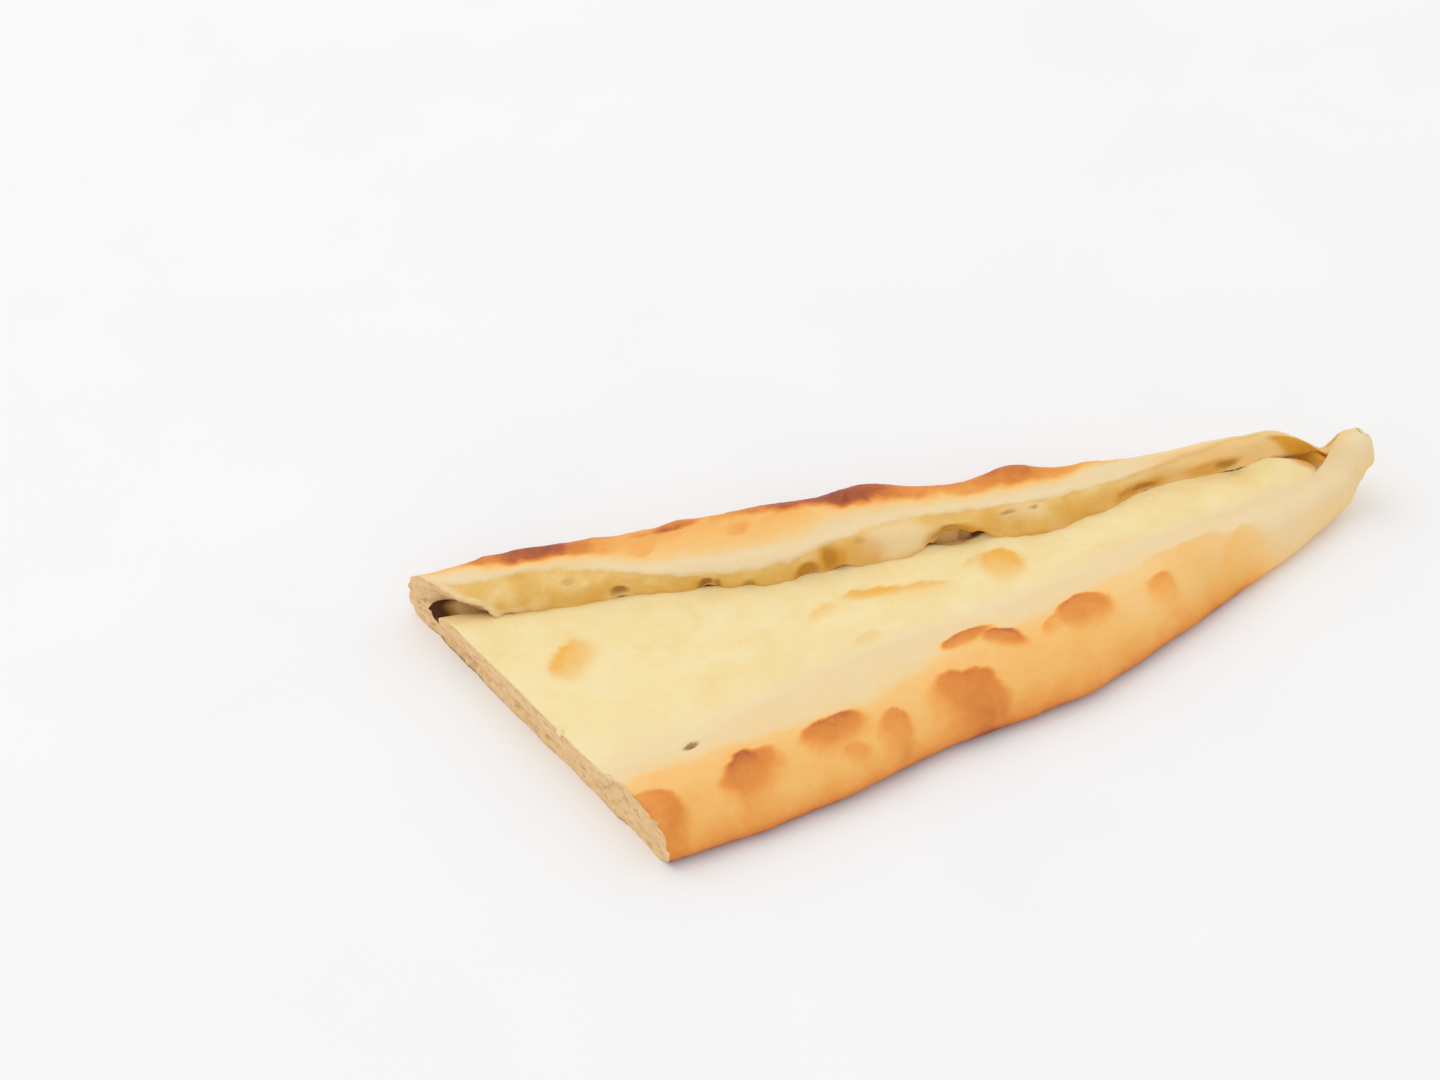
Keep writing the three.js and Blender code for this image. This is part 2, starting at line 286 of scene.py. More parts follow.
# Points across and up: the near fold, its flap and hollow, the bottom sheet, then the far fold's.
def doughOutline(m, gap, out):
    w, n, f, k, cut = m["width"], m["nearFold"], m["farFold"], m["trough"], m["atCut"]
    nearRim, farRim, start, pinched = m["nearRim"], m["farRim"], w - f, 1 - k
    tuckedIn = doughShape["smallCrease"] * m["crease"]
    nearHollow = n * 0.42 * m["undercut"] * (1 - cut) + tuckedIn
    farHollow = (f * (0.3 + 0.3 * cut) * (1 - 0.72 * np.clip(gap, 0, 1) * (1 - cut))
                 * m["undercut"] + tuckedIn)

    def nearDown(share):
        return m["nearLip"] - share * (m["nearLip"] - m["floor"])

    def farDown(share):
        return m["farLip"] - share * (m["farLip"] - m["floor"])

    outline = [
        (n * (0.13 + 0.4 * pinched), 0), (n * (0.025 + 0.12 * pinched), nearRim * 0.12),
        (0, nearRim * 0.31), (n * 0.1, nearRim * 0.66), (n * 0.27, nearRim * 0.9),
        (n * 0.5, nearRim), (n * 0.78, nearRim * 0.92), (n, m["nearLip"]),
        (n + 1.2 * k, nearDown(0.14)), (n + 0.4 * k, nearDown(0.34)),
        (n - nearHollow * 0.35, nearDown(0.42)), (n - nearHollow * 0.8, nearDown(0.48)),
        (n - nearHollow, nearDown(0.7)), (n - nearHollow * 0.8, nearDown(0.92)),
        (n - nearHollow * 0.1, nearDown(1)), ((n + start) / 2, m["floor"] - 0.1),
        (start + farHollow * 0.1, farDown(1)), (start + farHollow * 0.8, farDown(0.91)),
        (start + farHollow, farDown(0.66 + 0.12 * cut)),
        (start + farHollow * 0.75, farDown(0.26 + 0.34 * cut)),
        (start + farHollow * 0.25 + (0.4 - 0.5 * out) * k, farDown(0.38 - 0.08 * gap + 0.2 * cut)),
        (start + (0.7 + 0.5 * gap - out) * k, farDown(0.6 - 0.34 * gap)),
        (start + (0.6 * gap - 0.7 - out) * k, farDown(0.57 - 0.33 * gap)),
        (start - (0.3 + 0.7 * out) * k, farDown(0.27 - 0.1 * gap)),
        (start + f * 0.05 - 0.3 * out, farDown(0.05)),
        (start + f * 0.18, m["farLip"] + farRim * 0.03), (start + f * 0.45, farRim),
        (start + f * 0.72, farRim * 0.96), (start + f * 0.92, farRim * 0.72), (w, farRim * 0.38),
        (w - f * (0.03 + 0.12 * pinched), farRim * 0.12), (w - f * (0.16 + 0.4 * pinched), 0),
    ]
    return np.array([[a + 0 * w, up + 0 * w] for a, up in outline]).transpose(2, 0, 1)


# Stands each section upright between the two long edges.
def onStations(m, section):
    centre = np.stack([m["width"], m["nearRim"]], axis=1)[:, None] / 2
    section = centre + (section - centre) * m["roundOff"][:, None, None]
    plan = m["nearEdge"][:, None] + m["direction"][:, None] * section[:, :, :1]
    return np.concatenate([plan, np.maximum(section[:, :, 1:], 0) + m["lift"][:, None, None]],
                          axis=2)


# Moves the dough so that its box has the same middle as the frame's.
def frameShift():
    t = stations()
    m = measuresAt(t)
    plan = onStations(m, throughPoints(doughOutline(m, 0 * t, 0 * t), spanSteps))
    low, high = (np.array(corner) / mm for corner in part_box("dough_boat"))
    move = (low + high) / 2 - (plan.min((0, 1)) + plan.max((0, 1))) / 2
    return np.array([move[0], move[1], 0])


shift = frameShift()


def doughGrid():
    t = stations()
    m = measuresAt(t)
    along = (m["nearEdge"][:, 0] + m["farEdge"][:, 0] * 3) / 4 + shift[0]
    line = np.stack([along, 0 * t, 0 * t], 1)
    gap = np.max([opened * np.exp(-(((along - x) / half) ** 2)) for x, half,
                  opened in wallShape["openings"]], axis=0)
    gap = np.clip(gap + 0.10 * noiseField(line, 3, doughSeeds["gap"]), 0, 1.4)
    atCut = smooth(*flapEdge["ragged"], along - along[0])
    gap = np.clip(gap + 0.5 * atCut * noiseField(line, 5, doughSeeds["ragged"]), 0, 1.2)
    out = (alongLine(along, wallShape["standsOut"]) + (0.5 + 0.8 * atCut)
           * noiseField(line, 6, doughSeeds["standsOut"], 2))
    section = throughPoints(doughOutline(m, gap, out), spanSteps)
    under = np.linspace(section[:, -1], section[:, 0], doughShape["bottomSteps"] + 1, axis=1)[:,
                                                                                              1:-1]
    grid = onStations(m, np.concatenate([section, under], axis=1)) + shift
    steps = [k + j / count for k, count in enumerate(spanSteps) for j in range(count)] + [31]
    place = np.array(steps + list(31 + np.linspace(0, 1, doughShape["bottomSteps"] + 1)[1:-1]))
    back = np.interp(place, [17.5, 19, 20, 21, 22, 23, 24, 25, 26.5],
                     [0, 0.6, 0.9, 1, 1, 0.85, 0.6, 0.3, 0])
    fromCut = grid[:, :, 0] - grid[:1, :, 0]
    grid[:, :, 0] += (wallShape["flapBack"] * back
                      * np.maximum(0, 1 - fromCut / wallShape["flapFade"]) ** 2)
    return t, m, grid, place, gap


spotRise, spotDark = 4, 5  # places in a spot's row


# Spots on the far fold's wall, by how far along and the place round the outline.
def wallSpots(x, ringPlace, spots, measure):
    total = np.zeros(x.shape)
    for spot in spots:
        away = np.hypot((x - spot[0]) / spot[2], (ringPlace - spot[1]) / spot[3])
        total = np.maximum(total, spot[measure] * smooth(1.35, 0.55, away))
    return total


def inPocket(grid, lean=0.0):
    (x, y), (halfAlong, halfAcross) = pocketShape["at"], pocketShape["half"]
    along, across = grid[:, :, 0] - x + lean, grid[:, :, 1] - y
    away = np.hypot(along / halfAlong, (across + pocketShape["slant"] * along) / halfAcross)
    return smooth(*pocketShape["fade"], away)


def bakedDough():
    t, m, grid, place, gap = doughGrid()
    count, size = grid.shape[:2]
    ringPlace = np.broadcast_to(place, (count, size))
    far = np.broadcast_to(t[:, None], (count, size))
    x = grid[:, :, 0]
    o = outlinePlace
    nearSide = ringPlace < o["nearEnd"]
    farSide = (ringPlace > o["farStart"]) & (ringPlace < o["farEnd"])
    wobble = 0.16 * noiseField(grid, 6, doughSeeds["wobble"], 2)
    wobble = wobble + 0.06 * noiseField(grid, 1.8, doughSeeds["fineWobble"], 2)
    showing = np.interp(place, [0, 1, 7, 8.5, 9.5, 20.5, 21.5, 22.5, 30, 31, 32],
                        [0, 1, 1, 0.3, 0, 0, 0.4, 1, 1, 0, 0])
    showing = (showing * smooth(0.3, 3, grid[:, :, 2] - m["lift"][:, None])
               * smooth(0.995, 0.93, far))
    nearSpots, nearRise = spotField(grid, scorches["near"], doughSeeds["near"])
    farSpots, farRise = spotField(grid, scorches["far"], doughSeeds["far"], -1)
    pins, pinRise = spotField(grid, scorches["pinholes"], doughSeeds["pins"])
    topFar = farSide & (ringPlace > o["farLip"])
    spots = np.where(nearSide, nearSpots, 0) + np.where(topFar, farSpots, 0)
    rise = np.where(nearSide, nearRise + pinRise, 0) + np.where(topFar, farRise, 0)

    past = ringPlace + wobble - alongLine(x, wallShape["goldStart"])
    fromEdge = past - alongLine(x, scorches["ridgeStart"])
    ridge = smooth(0, 0.6, fromEdge) * smooth(4.4, 2.8, past)
    for humpX, half, up in scorches["humps"]:
        rise = rise + np.where(farSide, up * np.exp(-(((x - humpX) / half) ** 2))
                               * smooth(25, 27.3, ringPlace), 0)
    belowTop = alongLine(x, wallShape["wallTop"]) - ringPlace - 1.2 * wobble
    inwardOf = (ringPlace > o["farHollowEnd"]) & (ringPlace < o["farEnd"])
    wall = smooth(-0.12, 0.12, belowTop) * smooth(19.4, 20, ringPlace) * inwardOf
    wall = wall * (1 - wallSpots(x, ringPlace + wobble, wallShape["tan"], spotDark))
    brink = np.exp(-(((belowTop + 0.3) / 0.22) ** 2)) * farSide * (ringPlace > 22)
    holes = wallSpots(x, ringPlace + wobble, wallShape["holes"], spotDark) * farSide
    pillows = wallSpots(x, ringPlace, wallShape["pillows"], spotRise) * farSide

    stretched = grid * [0.7, 1, 1]
    lumps = noiseField(stretched, 17, doughSeeds["lumps"], 2) * doughRelief["lumps"]
    dimples = noiseField(stretched, 5.5, doughSeeds["dimples"], 2) * doughRelief["dimples"]
    skin = noiseField(grid, 1.6, doughSeeds["skin"], 2) * doughRelief["skin"]
    calm = 1 - 0.6 * smooth(5.2, 6.2, ringPlace) * (ringPlace < 9)
    crinkle = (wall * (0.3 * noiseField(grid * [1, 1, 0.45], 3.2, doughSeeds["crinkle"], 2) - 0.25)
               + 0.3 * brink)
    push = showing * ((lumps + dimples + skin) * calm + crinkle + rise + pillows)
    push -= showing * wallSpots(x, ringPlace + wobble, wallShape["holes"], spotRise)
    fromCut = x - x[:1]
    lifted = np.exp(-(((fromCut - flapEdge["liftAt"]) / flapEdge["liftHalf"]) ** 2))
    lifted = lifted * smooth(20.8, 21.8, ringPlace) * smooth(26.6, 25.6, ringPlace)
    push = (push + lifted * (flapEdge["lift"] + flapEdge["liftWander"]
                             * noiseField(grid, 3.2, doughSeeds["lifted"])))
    moved = grid + gridNormals(grid) * push[:, :, None]
    torn = noiseField(grid * [0.2, 1, 1], 2.2, doughSeeds["torn"], 2)
    fade = np.exp(-(fromCut / flapEdge["tearFade"]) ** 2)
    moved[:, :, 0] += doughRelief["edgeTear"] * np.clip(0.35 + torn, 0, 1) * fade
    moved[:, :, 2] = np.maximum(moved[:, :, 2], 0)

    towardTip = smooth(60, 88, x)
    onTop = smooth(2, 4, ringPlace) * nearSide
    sooner = 5.25 - alongLine(x, wallShape["goldEnd"]) + 0.8 * wobble
    nearTone = np.interp(ringPlace + sooner * onTop, bakeAndEdgeShade["place"], bakeAndEdgeShade["bake"])
    nearTone = (nearTone * (1 - 0.3 * smooth(22, 45, x) * smooth(2, 4, ringPlace))
                * (1 - 0.72 * towardTip))
    farTone = np.interp(past, farBake["past"], farBake["bake"]) * (1 - 0.78 * towardTip)
    bake = np.where(farSide, farTone, nearTone)
    bake = bake + np.maximum(0, 0.34 - bake) * smooth(0.04, 0.24, spots) + spots
    bake = bake + np.where(farSide, ridge * alongLine(x, scorches["ridge"]) * (1 + 0.5 * wobble), 0)
    hem = (smooth(*flapEdge["hem"], fromCut) * smooth(20.6, 21, ringPlace)
           * smooth(23.1, 22.7, ringPlace + 2 * wobble) * farSide)
    rim = (smooth(*flapEdge["rim"], fromCut + 3 * wobble) * smooth(20.6, 21, ringPlace)
           * smooth(26.6, 26, ringPlace))
    hem = np.maximum(hem, rim)
    bake = bake * (1 - hem) + 0.1 * hem
    wall = wall * (1 - hem) * (1 - 0.75 * smooth(50, 75, x))
    bake = np.where(farSide & (ringPlace < 27.5),
                    np.maximum(bake, 0.18 * smooth(50, 72, x) * smooth(26.8, 25.8, ringPlace)),
                    bake)
    # Painted shade: the inner faces of the hollows, places 9.5 to 21, are darkened a little.
    recessShade = np.where((ringPlace > 9.5) & (ringPlace < 21), 0.2, 0) * smooth(0.98, 0.9, far)
    # Painted shade: a near-black colour in the slot under the far flap at the cut.
    slot = (smooth(*flapEdge["slot"], fromCut) * smooth(16.3, 16.7, ringPlace)
            * smooth(19, 18.2, ringPlace))
    recessShade = np.maximum(recessShade, 1.6 * slot)
    # Painted shade in the wall's holes and the near side's pinholes.
    recessShade = np.maximum(recessShade, np.maximum(holes, np.where(nearSide, pins, 0)))
    # Painted shade under the far flap's lip, darker where the flap stands open.
    foot = np.where(farSide, gap[:, None] * smooth(22.6, 21.2, ringPlace), 0)
    recessShade = np.maximum(recessShade, 0.4 * foot)
    # The ochre pocket where the nib's folds part is painted shade.
    pocketShade = (inPocket(grid, 1.3 * np.clip(ringPlace - 23, -3, 3)) * (ringPlace > 9)
              * smooth(25.9, 25.1, ringPlace + wobble))
    # Ochre: partly the soaked dough's own colour, partly painted shade in the holes.
    ochreAndShade = np.maximum(wallSpots(x, ringPlace + wobble, wallShape["ochreAndShade"], spotDark) * inwardOf,
                      0.5 * holes)
    # Painted shade: an ochre line along the foot of the far wall.
    footShadeBand = (smooth(22.7, 21.9, ringPlace + 1.5 * wobble) * smooth(-102, -90, x)
                * smooth(60, 45, x) * inwardOf)
    ochreAndShade = np.maximum(ochreAndShade, 0.38 * footShadeBand)
    # The soaked wall's colour also carries the pocket's painted shade.
    values = {"bake": bake, "soakedAndPocketShade": np.clip(wall + pocketShade, 0, 1), "recessShade": recessShade * (1 - pocketShade),
              "ochreAndShade": np.clip(ochreAndShade + pocketShade + 0.2 * smooth(44, 60, x) * (1 - towardTip)
                              * smooth(0.1, 0.2, bake), 0, 1)}
    blisters = (showing * smooth(0.35, 0.6, bake) * (1 - wall) * (ringPlace > 3)
                * (ringPlace < 27.5) * (fromCut > 2))
    values["blisters"], values["crumbs"] = blisters, 0 * blisters
    return moved, values


def insidePoints(flat, gap, rng):
    low, high = flat.min(0), flat.max(0)
    xs, ys = np.meshgrid(np.arange(low[0], high[0], gap), np.arange(low[1], high[1], gap * 0.87))
    xs = xs + (np.arange(xs.shape[0]) % 2)[:, None] * gap / 2
    points = np.stack([xs.ravel(), ys.ravel()], 1) + rng.uniform(-0.22, 0.22, (xs.size, 2)) * gap
    a, b = flat, np.roll(flat, -1, axis=0)
    x, y = points[:, :1], points[:, 1:]
    slope = np.where(b[:, 1] == a[:, 1], 1e-9, b[:, 1] - a[:, 1])
    meets = (b[:, 0] - a[:, 0]) * (y - a[:, 1]) / slope + a[:, 0]
    crossing = ((a[:, 1] > y) != (b[:, 1] > y)) & (x < meets)
    inside = crossing.sum(1) % 2 == 1
    share = np.clip(((x - a[:, 0]) * (b - a)[:, 0] + (y - a[:, 1]) * (b - a)[:, 1])
                    / ((b - a) ** 2).sum(1), 0, 1)
    edge = np.hypot(x - a[:, 0] - share * (b - a)[:, 0], y - a[:, 1] - share * (b - a)[:, 1]).min(1)
    keep = inside & (edge > gap * 0.45)
    return points[keep], edge[keep]


crumb = {"grain": 0.42, "pores": 190, "wide": (0.4, 2.4), "tall": (0.2, 0.5), "depth": 0.7,
         "uneven": 0.35, "seed": 41}


# A pitted crumb face that fills the ring at the cut.
def cutFace(ring, settings):
    rng = np.random.default_rng(settings["seed"])
    across = ring[np.argmax(ring[:, 1])] - ring[np.argmin(ring[:, 1])]
    across = np.array([across[0], across[1], 0]) / np.hypot(across[0], across[1])
    inward = np.array([across[1], -across[0], 0])
    origin = ring[0] * [1, 1, 0]
    flat = np.stack([(ring - origin) @ across, ring[:, 2]], 1)
    points, edge = insidePoints(flat, settings["grain"], rng)
    everything = [Vector(p) for p in np.concatenate([flat, points])]
    loop = [(i, (i + 1) % len(ring)) for i in range(len(ring))]
    coords, _, faces, source, _, _ = delaunay_2d_cdt(everything, loop, [], 1, 1e-6)
    pits = np.zeros(len(points))
    for _ in range(settings["pores"]):
        centre = points[rng.integers(len(points))]
        wide, tall = (rng.uniform(*settings["wide"]) * rng.uniform(0.5, 1),
                      rng.uniform(*settings["tall"]))
        away = np.hypot((points[:, 0] - centre[0]) / wide, (points[:, 1] - centre[1]) / tall)
        pits = np.maximum(pits, min(1, tall / 0.4) * smooth(1, 0.35, away) * rng.uniform(0.35, 1))
    middle = origin + points[:, :1] * across + points[:, 1:] * [0, 0, 1]
    rough = noiseField(middle, 2.4, settings["seed"], 3)
    uneven = settings["uneven"] * np.clip(0.4 + rough, 0, 1.5)
    depth = smooth(0, 0.9, edge) * (uneven + settings["depth"] * pits)
    near = 1 / (np.linalg.norm(points[:, None] - flat, axis=2) + 0.05) ** 3
    back = near @ ((ring - origin) @ inward) / near.sum(1)
    middle = middle + inward * (back + depth)[:, None]
    index = [found[0] for found in source]
    return middle, [[index[i] for i in reversed(face)] for face in faces], pits


def meshFrom(name, rows, caps, attributes, materials):
    count, size = rows.shape[:2]
    i, k = np.meshgrid(np.arange(count - 1), np.arange(size), indexing="ij")
    quads = np.stack([i * size + k, (i + 1) * size + k, (i + 1) * size + (k + 1) % size,
                      i * size + (k + 1) % size], -1)
    points = [rows.reshape(-1, 3)]
    faces = quads.reshape(-1, 4).tolist()
    slots = [0] * len(faces)
    values = {key: [value.ravel()] for key, value in attributes.items()}
    total = count * size
    for first, more, capFaces, pits, slot in caps:
        faces += [[first + v if v < size else total + v - size for v in face] for face in capFaces]
        slots += [slot] * len(capFaces)
        points.append(more)
        total += len(more)
        for key in values:
            inside = smooth(0.6, 1.4, more[:, 2]) * (np.abs(more[:, 1]) < 48)
            # The cap's pits carry painted shade in the crumb's pores.
            fill = {"recessShade": pits, "crumbs": inside}.get(key, 0.0)
            values[key].append(np.zeros(len(more)) + fill)
    mesh = bpy.data.meshes.new(name)
    mesh.from_pydata((np.concatenate(points) * mm).tolist(), [], faces)
    for key, parts in values.items():
        layer = mesh.attributes.new(key, "FLOAT", "POINT")
        layer.data.foreach_set("value", np.concatenate(parts).astype(np.float32))
    for material in materials:
        mesh.materials.append(material)
    mesh.polygons.foreach_set("material_index", slots)
    mesh.polygons.foreach_set("use_smooth", [True] * len(faces))
    mesh.update()
    piece = bpy.data.objects.new(name, mesh)
    bpy.context.scene.collection.objects.link(piece)
    print(name, "has", len(faces), "faces")
    return piece


# Closes the last ring.
def fanCap(rows):
    size = rows.shape[1]
    fan = [[(v + 1) % size, v, size] for v in range(size)]
    middle = (rows[-1].min(0) + rows[-1].max(0)) / 2
    return (len(rows) - 1) * size, middle[None], fan, np.zeros(1), 0


# Draws the points in a little where they stand outside the frame's box.
def fitInside(points, low, high):
    middle = (low + high) / 2
    reach = np.abs(points - middle).reshape(-1, 3).max(0)
    return middle + (points - middle) * np.minimum(1, (high - low) / 2 / reach)


# The cheese, melted into the trough and lapped over the near fold's lip.

cheeseShape = {
    "thickness": [3.8, 3.8, 3.8, 3.8, 4.2, 5.2, 4.8, 3.4, 3, 3, 3], "shoulder": 1.9,
    "start": 0, "end": 0.67, "taper": 0.08, "rings": 260,
    "lap": 0.7, "lapWander": 0.25, "lumps": 0.3, "dimples": 0.13, "seed": 61,
    "dipAt": 10.5, "dipHalf": 4.5, "dipDeep": 2.1, "sunk": 0.15, "fuller": 0.65, "bottomSteps": 11,
}
cheeseSteps = [3, 3, 3, 6, 5, 10, 24, 24, 12, 6, 4, 3, 3, 4]
toastedCheese = [  # along, across, half length, half width, turn, how toasted, how raised
    (-87, 9, 6.8, 4.8, 42, 0.85, 0.3), (18, -1.8, 5.6, 5.2, -25, 0.9, 0.3),
    (13.2, 1.8, 4.4, 1.7, 10, 0.4, 0.1), (-13.5, 1.4, 8, 1.9, -14, 0.95, 0.1),
    (-5, -0.6, 8, 1.6, -14, 0.7, 0.1), (-5, -2.6, 10, 2.4, -12, 0.22, 0),
    (-27.6, 0.5, 3.6, 1.9, 20, 0.45, 0.1), (-21, -12, 4, 2, 10, 0.3, 0.1),
    (-55, -13, 10, 4, 10, 0.1, 0.1), (40, -8, 12, 2.5, 5, 0.12, 0.1),
]
# Pinholes in the cheese: sunk dents whose dark colour is painted shade.
cheesePins = [(-71.8, -28, 1.9, 1.1, 12, 1, -0.9), (16, 11, 2.2, 1.0, -22, 0.8, -0.3)]


def meltedCheese():
    c = cheeseShape
    t = np.linspace(c["start"], c["end"], c["rings"])
    m = measuresAt(t)
    w, n, f = m["width"], m["nearFold"], m["farFold"]
    left = np.sqrt(np.clip((c["end"] - t) / c["taper"], 0.02, 1))
    low = m["floor"] - c["sunk"]
    middle, half = (n + w - f) / 2, (w - f - n) / 2
    tuck = np.minimum(1, m["undercut"] * n / 20)
    nearEnd = -half - n * 0.22 * m["undercut"] * tuck * (1 - m["atCut"])
    farEnd = half + f * (0.16 + 0.14 * m["atCut"]) * m["undercut"] * tuck
    lip = m["nearLip"] - low
    edge = c["shoulder"] * np.minimum(1, (m["nearLip"] - m["floor"]) / 5)
    top = np.maximum(edge + (c["fuller"] + course(c["thickness"], t) - edge)
                     * np.minimum(1, half / 8), lip + 0.1)
    underFlap = edge + 1.3 * m["atCut"]
    foot = m["farLip"] - 0.5 * (m["farLip"] - m["floor"]) - low
    farX = (m["nearEdge"][:, 0] + m["farEdge"][:, 0] * 3) / 4 + shift[0]
    dip = c["dipDeep"] * np.exp(-(((farX - c["dipAt"]) / c["dipHalf"]) ** 2))
    farTop = np.maximum(top - 0.6, (foot + 0.6) * smooth(0.48, 0.6, t)) - dip
    along = np.stack([t * 228, 0 * t, 0 * t], 1)
    lap = n * 0.22 * (c["lap"] + c["lapWander"] * noiseField(along, 9, c["seed"], 2))
    slope = (m["nearRim"] * 0.92 - m["nearLip"]) / (n * 0.22)
    outline = [
        (nearEnd + 2 * tuck, 0), (nearEnd + 0.4 * tuck, edge * 0.15), (nearEnd, edge * 0.6),
        (nearEnd + 0.8 * tuck, edge * 0.95), (-half * 0.99 - 0.4 * lap, edge + 0.2),
        (-half - lap, lip + slope * lap - 0.45),
        (-half - lap * 0.4, lip + slope * lap * 0.4 + 0.15),
        (-half * 0.84, lip + (top - lip) * 0.4 + 0.12), (0, (top + farTop + dip) / 2 + 0.1),
        (half * 0.78, farTop + 0.7 * dip), (half * 0.99, farTop),
        (farEnd - 0.8 * tuck, underFlap * 0.95), (farEnd, underFlap * 0.6),
        (farEnd - 0.4 * tuck, edge * 0.15), (farEnd - 2 * tuck, 0),
    ]
    section = np.array([[a + 0 * w, up + 0 * w] for a, up in outline]).transpose(2, 0, 1)
    section = throughPoints(section, cheeseSteps)
    section[:, :, 0] = (middle - half)[:, None] + (section[:, :, 0] + half[:, None]) * left[:, None]
    toFar = np.clip((section[:, :, 0] - n[:, None]) / np.maximum(2 * half, 1)[:, None], 0, 1)
    drop = 1.8 * (1 - left[:, None]) ** 3 + 3.2 * (1 - left[:, None]) * toFar
    section[:, :, 1] = low[:, None] - drop + section[:, :, 1]
    under = np.linspace(section[:, -1], section[:, 0], c["bottomSteps"] + 1, axis=1)[:, 1:-1]
    grid = onStations(m, np.concatenate([section, under], axis=1)) + shift
    steps = [k + j / count for k, count in enumerate(cheeseSteps) for j in range(count)] + [14]
    place = np.array(steps + [14.5] * (c["bottomSteps"] - 1))
    showing = np.interp(place, [4.6, 5.2, 6, 9.5, 10.2, 10.8], [0, 0.3, 1, 1, 0.4, 0])
    toast, rise = spotField(grid, toastedCheese, c["seed"] + 1)
    lumps = (noiseField(grid, 13, c["seed"] + 2, 2) * c["lumps"]
             + noiseField(grid, 4, c["seed"] + 3, 2) * c["dimples"])
    pins, pinRise = spotField(grid, cheesePins, c["seed"] + 6)
    pins, pinRise = pins * (place > 5) * (place < 11), pinRise * (place > 5) * (place < 11)
    moved = grid + gridNormals(grid) * ((lumps + rise) * showing + pinRise)[:, :, None]
    toast = toast * (place > 4.8) * (place < 10.5)
    wobble = noiseField(grid, 6, c["seed"] + 4, 2)
    strip = smooth(7.6, 6.1, place + 0.25 * wobble) * np.ones_like(toast)
    edgeTone = smooth(9.7, 10.3, place + 0.15 * wobble) * (place < 11.5)
    patchy = smooth(-0.2, 0.4, noiseField(grid, 14, c["seed"] + 5))
    bubbles = (place > 6.5) * (place < 9.6) * patchy + 1.5 * toast
    # The pocket's ochre and the pins' dark colour are painted shade.
    values = {"toast": toast, "edge": edgeTone, "strip": strip,
              "pocketShade": inPocket(grid) * smooth(7.2, 8.4, place), "recessShade": pins,
              "bubbles": np.clip(bubbles, 0, 1)}
    return moved, values


# Finishes. Colours are in hexadecimal red, green and blue, as they look on a screen.

def linear(colour):
    parts = [int(colour[i:i + 2], 16) / 255 for i in (0, 2, 4)]
    return (*[v / 12.92 if v <= 0.04045 else ((v + 0.055) / 1.055) ** 2.4 for v in parts], 1)


def addNode(material, kind, inputs=(), **settings):
    made = material.node_tree.nodes.new(kind)
    for key, value in settings.items():
        setattr(made, key, value)
    for key, value in dict(inputs).items():
        if isinstance(value, bpy.types.NodeSocket):
            material.node_tree.links.new(value, made.inputs[key])
        else:
            made.inputs[key].default_value = value
    return made


def newMaterial(name):
    material = bpy.data.materials.new(name)
    material.use_nodes = True
    material.node_tree.nodes.clear()
    return material


def attribute(material, name):
    return addNode(material, "ShaderNodeAttribute", attribute_name=name).outputs["Fac"]


def calculate(material, operation, a, b, c=None):
    inputs = {0: a, 1: b} if c is None else {0: a, 1: b, 2: c}
    return addNode(material, "ShaderNodeMath", inputs, operation=operation).outputs[0]


def grainNoise(material, size, detail=3, roughness=0.55, distortion=0.0, squeeze=None):
    place = addNode(material, "ShaderNodeTexCoord").outputs["Object"]
    if squeeze:
        place = addNode(material, "ShaderNodeVectorMath", {0: place, 1: squeeze},
                        operation="MULTIPLY").outputs[0]
    inputs = {"Vector": place, "Scale": 1 / (size * mm), "Detail": detail, "Roughness": roughness,
              "Distortion": distortion}
    return addNode(material, "ShaderNodeTexNoise", inputs).outputs["Fac"]


def colourRamp(material, value, stops):
    ramp = addNode(material, "ShaderNodeValToRGB", {"Fac": value})
    while len(ramp.color_ramp.elements) < len(stops):
        ramp.color_ramp.elements.new(0.5)
    for element, (position, colour) in zip(ramp.color_ramp.elements, stops):
        element.position = position
        element.color = linear(colour)
    return ramp.outputs["Color"]


def mixColour(material, share, a, b):
    mix = addNode(material, "ShaderNodeMix", data_type="RGBA", blend_type="MIX")
    for socket, value in ((mix.inputs[0], share), (mix.inputs[6], a), (mix.inputs[7], b)):
        if isinstance(value, bpy.types.NodeSocket):
            material.node_tree.links.new(value, socket)
        else:
            socket.default_value = value
    return mix.outputs[2]


def tinted(material, colour, where, strength, tint):
    return mixColour(material, calculate(material, "MULTIPLY", where, strength), colour,
                     linear(tint))


def bumpFrom(material, height, distance, strength=1.0, under=None):
    inputs = {"Height": height, "Distance": distance * mm, "Strength": strength}
    if under is not None:
        inputs["Normal"] = under
    return addNode(material, "ShaderNodeBump", inputs).outputs["Normal"]


def finishWith(material, colour, roughness, normal, shader):
    inputs = {"Base Color": colour, "Roughness": roughness, "Normal": normal, **shader}
    body = addNode(material, "ShaderNodeBsdfPrincipled", inputs)
    addNode(material, "ShaderNodeOutputMaterial", {"Surface": body.outputs[0]})


crustFinish = {
    "ramp": [(0.0, "edd6aa"), (0.12, "efcf96"), (0.25, "f5c882"), (0.40, "f4ba68"),
             (0.52, "efa752"),
             (0.64, "e49140"), (0.75, "da8336"), (0.86, "bb6232"), (1.0, "8f4528")],
    "wall": [(0.1, "efd091"), (0.5, "e6bb68"), (0.9, "dca848")],
    # The hollow and slot colours are painted shade for recesses; the ochre is partly the soaked
    # dough's colour, partly painted shade.
    "ochreAndShade": "d8930e", "hollow": "8f6216", "slot": "4a2608",
    "mottle": 0.13, "grain": 0.06,
    "shader": {"Subsurface Weight": 0.08, "Subsurface Radius": (0.004, 0.002, 0.001),
               "Specular IOR Level": 0.3},
}


